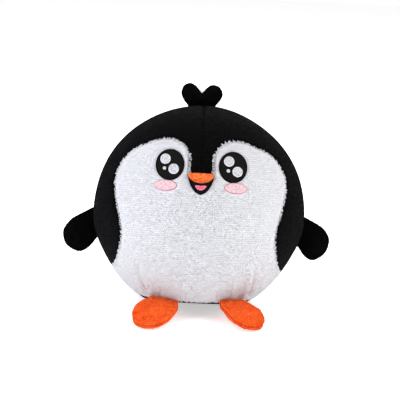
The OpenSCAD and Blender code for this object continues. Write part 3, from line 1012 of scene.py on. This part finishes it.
def stuffed(body, motion, layers, outline, kind, toward, seed, droop=0.0, seam_lift=0.0, shorter=1.0):
    """A flap of two plush panels round its wadding, sewn into the cover at its root. body is its name
    and its body's, and its joint and its two panels' nodes are named after it."""
    nodes = [f"{body}_{layer}" for layer in layers]
    axes, root = flap_axes(f"{body}_{motion}", *nodes, toward)
    local = [(node_in_toy(node) - root) @ axes for node in nodes]
    low, high = np.vstack(local).min(0), np.vstack(local).max(0)
    top, bottom = local[0][:, 2].max(), -local[1][:, 2].min()
    side, loop = fitted(outline, low, high, droop)
    flat, faces, gap = filled(loop, 0.55, (0.25, 0.6))[:3]
    edge = np.flatnonzero(gap < 1e-4)
    swell = first_swell(flat, edge, side, (top + bottom) / 2, high[1])
    both = inflated(flat, faces, edge, swell, flat[:, 1] < SEWN_BELOW)
    both = sized(both, flat, low, high, shorter)
    draw = seam_draw(flat, gap, loop, FLAP_SEAM[kind])
    keep = clear_of_seam(axes, root, loop, FLAP_BARE[kind])
    pieces = []
    halves = zip(nodes, np.split(both.copy(), 2), (top, bottom), (1, -1))
    for layer, (node, points, height, up) in enumerate(halves):
        rise = abs(points[:, 2])
        rise *= height / rise.max()
        rise += 0.1 * wobble(np.column_stack([flat, rise]), 5, seed + layer) * smooth(gap, 0, 2)
        rise += 0.4 * np.exp(-(((gap - 0.5) / 0.35) ** 2)) * (flat[:, 1] > 0)
        rise[edge] = SEAM_GAP
        points[:, :2] += draw
        points[:, 2] = up * rise
        points[:, 2] += seam_lift * smooth(flat[:, 1], 2, 9) * np.exp(-((gap / 1.6) ** 2))
        toy = points @ axes.T + root
        world_height = to_world(toy)[:, 2] / MM
        toy += np.outer(np.maximum(0.03 - world_height, 0), np.array([0, 0, 1.0]) @ TURN)
        a, b, c = (toy[faces[:, i]] for i in range(3))
        facing = np.cross(b - a, c - a) @ axes[:, 2] * up
        out = faces if facing.sum() > 0 else faces[:, ::-1]
        piece = new_object(node + "_cloth", to_world(toy), out)
        thicken(piece, FLAP_CLOTH)
        finished(piece, None, kind + "_plush", PLUSH[kind])
        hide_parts(node)
        strands = pile_on(node + "_pile", toy, out, 7.0, 0.6, 0.22, 0.12, kind, 200 + seed + layer, keep)
        pieces += [piece, strands]
    start, end = (to_world(root + axes[:, 1] * y) for y in (SHOWN_FROM, SHOWN_TO))
    for piece in pieces:
        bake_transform(piece)
    wadding(body, both, faces, edge, axes, root, (top, bottom))


def wadding(body, both, faces, edge, axes, root, heights):
    """The flap's stuffing: the shape of its cloth, drawn in on all sides."""
    points = both.copy()
    middle = np.array([(points[:, 0].max() + points[:, 0].min()) / 2, 0.5 * points[:, 1].max()])
    points[:, :2] = middle + (points[:, :2] - middle) * 0.74
    for layer, height in zip(np.split(points, 2), heights):
        layer[:, 2] *= (height - 1.3) / abs(layer[:, 2]).max()
    # It thins out towards the root, so that the flap can fold against the ball
    low, high = points[:, 1].min(), points[:, 1].max()
    points[:, 1] = high - (high - points[:, 1]) * (high - WADDING_FROM) / (high - low)
    thin = 0.05 + WADDING_WEDGE * (points[:, 1] - WADDING_FROM)
    points[:, 2] = thin * np.tanh(points[:, 2] / thin)
    points[:, 2] += 0.12 * wobble(points, 2.5, 77) * smooth(abs(points[:, 2]), 0.2, 0.8)
    used, both_faces = two_layers(faces, edge, len(points) // 2)
    piece = new_object(body + "_wadding", to_world(points[used] @ axes.T + root), both_faces)
    finished(piece, body, "wadding", WADDING)
    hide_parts(body + "_fill")


WADDING = wadding_finish()
foot = whole_from_tip(FOOT_HALF)
heart = whole_from_tip(TUFT_HALF)
heart[:, 1] *= 1 - 0.006 * heart[:, 0]
for side, name, flipper_droop, foot_droop, foot_size, seed in (
        (1, "left", 0, 0, 0.95, 1), (-1, "right", 5, 2, 1.0, 5)):
    stuffed(name + "_flipper", "swing", ("front", "back"), curve(FLIPPER_EDGE, 6), "black",
            (DOWN, FORWARD), seed, flipper_droop)
    stuffed(name + "_foot", "flap", ("top", "sole"), foot, "orange",
            (np.array([side, 0, 0]), -DOWN), 10 + seed, foot_droop, FOOT_SEAM_LIFT, foot_size)
stuffed("tuft", "nod", ("front", "back"), heart, "black", (np.array([1, 0, 0]), FORWARD), 21)

# ---- closing stitches


def tube(name, routes, radius, sides=8):
    """Thread along each route, with closed ends and the twist of its two plies."""
    points, faces = [], []
    for route in routes:
        way = unit(np.gradient(route, axis=0))
        side = unit(np.cross(way, [0.31, 0.2, 0.93]))
        other = np.cross(way, side)
        first = len(points)
        for i, (p, u, v) in enumerate(zip(route, side, other)):
            for j in range(sides):
                turn = 2 * np.pi * j / sides
                r = radius * (1 + 0.22 * abs(math.cos(turn - 0.9 * i)))
                points.append(p + r * (math.cos(turn) * u + math.sin(turn) * v))
        for i in range(len(route) - 1):
            for j in range(sides):
                a, b = first + i * sides + j, first + i * sides + (j + 1) % sides
                faces.append((a, b, b + sides, a + sides))
        faces.append(tuple(first + j for j in range(sides))[::-1])
        faces.append(tuple(first + (len(route) - 1) * sides + j for j in range(sides)))
    return new_object(name, to_world(points), faces)


STITCHES = 9
STITCH_WIDTH = 3.0


def closing_stitches():
    heights = node_in_toy("closing_stitches")[:, 2]
    top, bottom = (math.asin(z / (BALL + 0.3)) for z in (heights.max() - 0.25, heights.min() + 0.25))
    routes = []
    for number in range(STITCHES):
        t = np.linspace(-1, 1, 15)
        angle = top + (bottom - top) * number / (STITCHES - 1) + 0.012 * t * (1 if number % 2 else 0.6)
        r = BALL - 1.0 + 1.35 * np.sqrt(np.clip(1 - abs(t) ** 2.6, 0, 1))
        routes.append(np.stack([STITCH_WIDTH / 2 * t, r * np.cos(angle), r * np.sin(angle)], 1))
    piece = tube("closing_stitch_loops", routes, 0.22)
    finished(piece, "body", "black_thread", THREADS["black_thread"][0])
    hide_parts("closing_stitches")


closing_stitches()

# ---- what is inside

for node, finish in (("foam_core", foam_finish()), ("beak_padding", WADDING)):
    inner = frame["nodes"][node]
    inner.data.materials.clear()
    inner.data.materials.append(finish)

# ---- floor, lights and camera


def floor():
    plane = new_object("floor", [(-3, -3, 0), (3, -3, 0), (3, 3, 0), (-3, 3, 0)], [(0, 1, 2, 3)])
    pale = Finish("pale_floor", Roughness=0.9, Emission_Color=(1, 1, 1, 1), Emission_Strength=0.5)
    pale.colour(pale.noise(40, 2), (0.3, (0.93, 0.93, 0.935)), (0.7, (0.96, 0.96, 0.96)))
    plane.data.materials.append(pale.material)


def soft_light(name, place, size, power, colour):
    """A square lamp at a place in metres, aimed at the toy."""
    lamp = bpy.data.lights.new(name, "AREA")
    lamp.size = size
    lamp.energy = power
    lamp.color = colour
    item = bpy.data.objects.new(name, lamp)
    item.location = place
    item.rotation_euler = (CENTRE - Vector(place)).to_track_quat("-Z", "Y").to_euler()
    scene.collection.objects.link(item)


ROOM_LIGHT = 0.48


def light():
    world = bpy.data.worlds.new("studio")
    world.use_nodes = True
    tree = world.node_tree
    background = tree.nodes["Background"].inputs
    background["Color"].default_value = (1, 1, 1, 1)
    # The room lights the toy softly, and beyond the floor's edge it looks as white as the floor
    seen = tree.nodes.new("ShaderNodeLightPath").outputs["Is Camera Ray"]
    strength = tree.nodes.new("ShaderNodeMapRange")
    strength.inputs["To Min"].default_value = ROOM_LIGHT
    strength.inputs["To Max"].default_value = 1.0
    tree.links.new(seen, strength.inputs["Value"])
    tree.links.new(strength.outputs["Result"], background["Strength"])
    scene.world = world
    soft_light("left_softbox", (-0.85, -0.3, 0.62), 1.1, 14.6, (0.92, 0.925, 1.0))
    soft_light("right_softbox", (0.85, -0.3, 0.62), 1.1, 12.6, (1.0, 0.985, 0.985))
    soft_light("back_softbox", (0.0, 0.95, 0.6), 1.1, 6.5, (1.0, 1.0, 1.0))


CAMERA_FROM = (-2.6, -499.99, 0)  # in the toy's frame: the camera looks straight at its face
CAMERA_ROLL = math.radians(2.7)
LENS = 103.6
SHIFT = (0.0025, 0.025)


def camera():
    eye = Vector(to_world([CAMERA_FROM])[0])
    look = unit(np.array(CENTRE - eye))
    right = TURN @ [math.cos(CAMERA_ROLL), 0, math.sin(CAMERA_ROLL)]
    right = unit(right - look * (right @ look))
    up = np.cross(right, look)
    lens = bpy.data.cameras.new("camera")
    lens.lens = LENS
    lens.shift_x, lens.shift_y = SHIFT
    lens.clip_start = 0.01
    item = bpy.data.objects.new("camera", lens)
    turned = Matrix(np.column_stack([right, up, -look]).tolist()).to_4x4()
    item.matrix_world = Matrix.Translation(eye) @ turned
    scene.collection.objects.link(item)
    scene.camera = item


floor()
light()
camera()
scene.view_settings.view_transform = "Standard"
